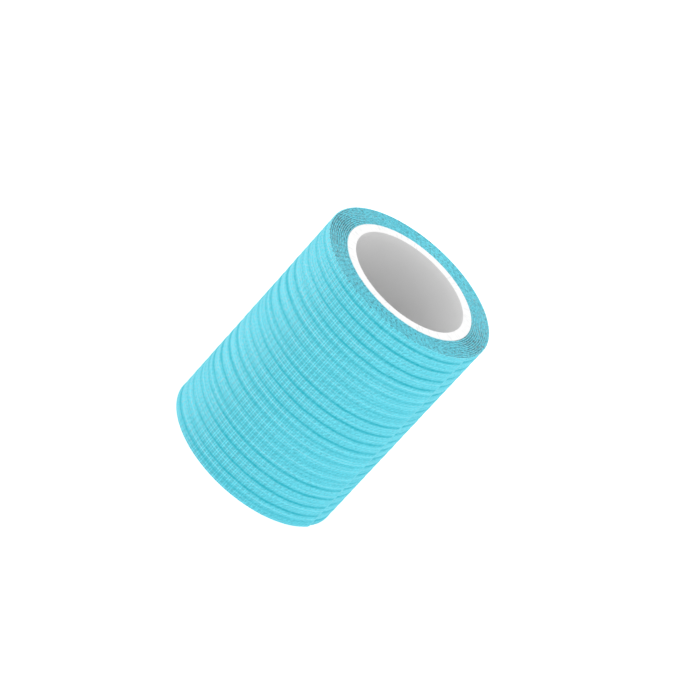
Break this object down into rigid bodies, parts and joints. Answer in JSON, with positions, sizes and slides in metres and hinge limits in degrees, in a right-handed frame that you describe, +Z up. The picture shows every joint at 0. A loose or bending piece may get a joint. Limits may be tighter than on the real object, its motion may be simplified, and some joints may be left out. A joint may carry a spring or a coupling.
{
  "type": "cohesive bandage roll",
  "caption": "Roll of self-clinging crepe bandage wound on a thick paper core with an open bore, its loose end laid down along the side.",
  "frame": {"origin": "middle of the lower end of the roll, where it stands on the surface", "axes": "+Z up along the winding axis; the loose end of the bandage lies down the side at -23.7 degrees about +Z from +X"},
  "size_m": [0.0772, 0.0772, 0.1016],
  "materials": {
    "bandage_crepe": "matte turquoise crepe with a fine weave and grooves round the roll",
    "core_paper": "matte white paper tube"
  },
  "bodies": {
    "root": {"bandage_roll": "bandage_crepe", "core": "core_paper"}
  },
  "joints": []
}
